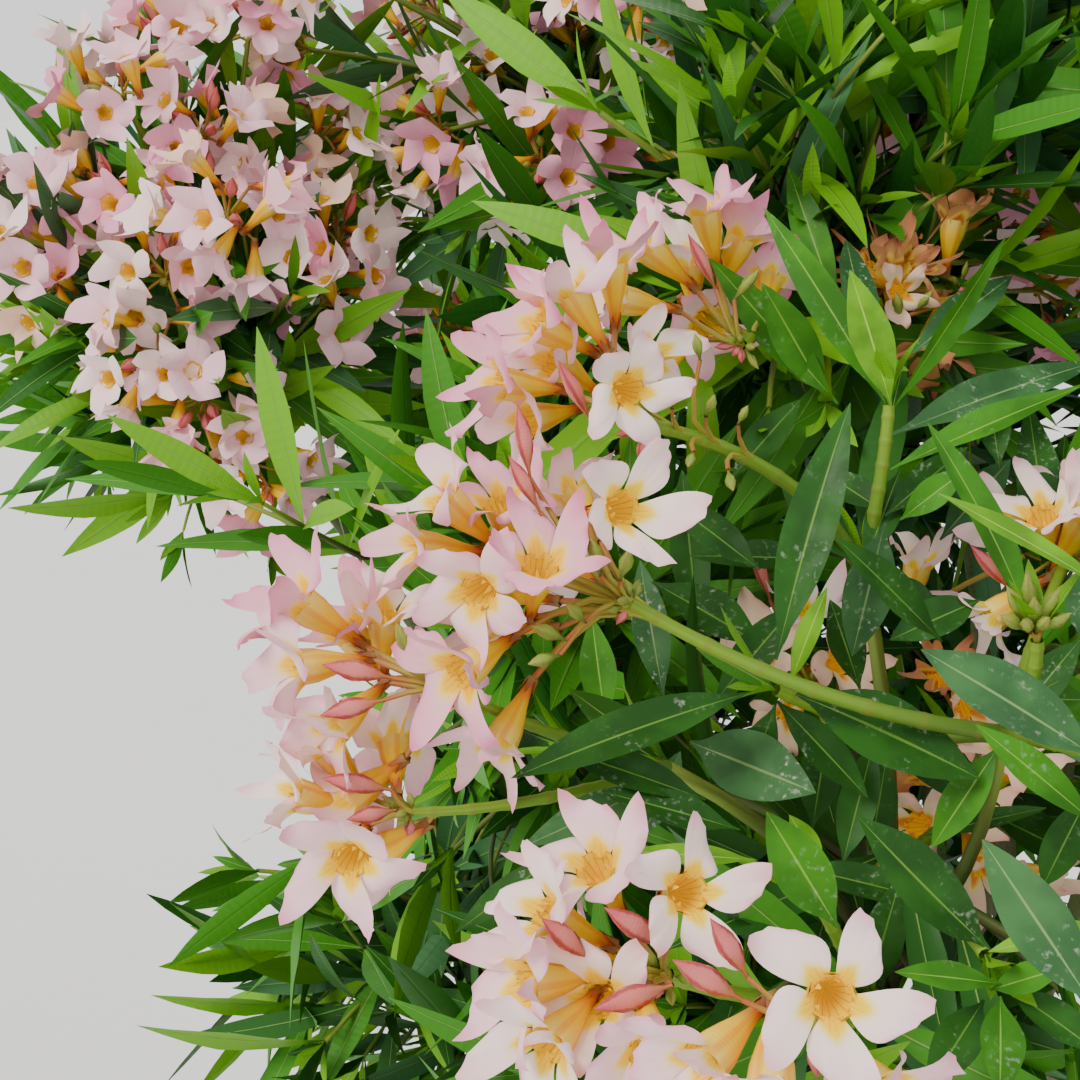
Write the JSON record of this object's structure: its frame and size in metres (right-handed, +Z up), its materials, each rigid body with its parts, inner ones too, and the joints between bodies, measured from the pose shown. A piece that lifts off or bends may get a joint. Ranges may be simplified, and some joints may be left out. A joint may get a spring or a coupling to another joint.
{
  "type": "potted oleander",
  "caption": "Flowering shrub with upright leaning stems, narrow leathery leaves and heads of pale pink trumpet flowers, standing in a plain round terracotta pot.",
  "frame": {"origin": "centre of the pot's flat underside, where it stands on the ground", "axes": "+Z up along the pot's axis; -Y is the side of the crown that the picture looks at"},
  "size_m": [1.1458, 1.1225, 1.4686],
  "materials": {
    "terracotta": "matte fired clay",
    "soil": "loose damp potting compost",
    "bark": "smooth grey-green bark",
    "foliage": "leathery leaves with pale pink blossom"
  },
  "bodies": {
    "root": {"flank_bough_1": "bark", "flank_bough_2": "bark", "flank_bough_3": "bark", "flank_bough_4": "bark", "flank_bough_5": "bark", "flank_bough_6": "bark", "flank_bough_7": "bark", "flank_bough_8": "bark", "flank_bough_9": "bark", "flank_mass_1": "foliage", "flank_mass_2": "foliage", "flank_mass_3": "foliage", "flank_mass_4": "foliage", "flank_mass_5": "foliage", "flank_mass_6": "foliage", "flank_mass_7": "foliage", "flank_mass_8": "foliage", "flank_mass_9": "foliage", "pot": "terracotta", "shoulder_bough_1": "bark", "shoulder_bough_2": "bark", "shoulder_bough_3": "bark", "shoulder_bough_4": "bark", "shoulder_bough_5": "bark", "shoulder_mass_1": "foliage", "shoulder_mass_2": "foliage", "shoulder_mass_3": "foliage", "shoulder_mass_4": "foliage", "shoulder_mass_5": "foliage", "skirt_bough_1": "bark", "skirt_bough_2": "bark", "skirt_bough_3": "bark", "skirt_bough_4": "bark", "skirt_bough_5": "bark", "skirt_bough_6": "bark", "skirt_bough_7": "bark", "skirt_mass_1": "foliage", "skirt_mass_2": "foliage", "skirt_mass_3": "foliage", "skirt_mass_4": "foliage", "skirt_mass_5": "foliage", "skirt_mass_6": "foliage", "skirt_mass_7": "foliage", "soil": "soil", "stem_1": "bark", "stem_2": "bark", "stem_3": "bark", "stem_4": "bark", "stem_5": "bark", "stem_6": "bark", "stem_7": "bark", "top_bough_1": "bark", "top_bough_2": "bark", "top_mass_1": "foliage", "top_mass_2": "foliage"}
  },
  "joints": []
}
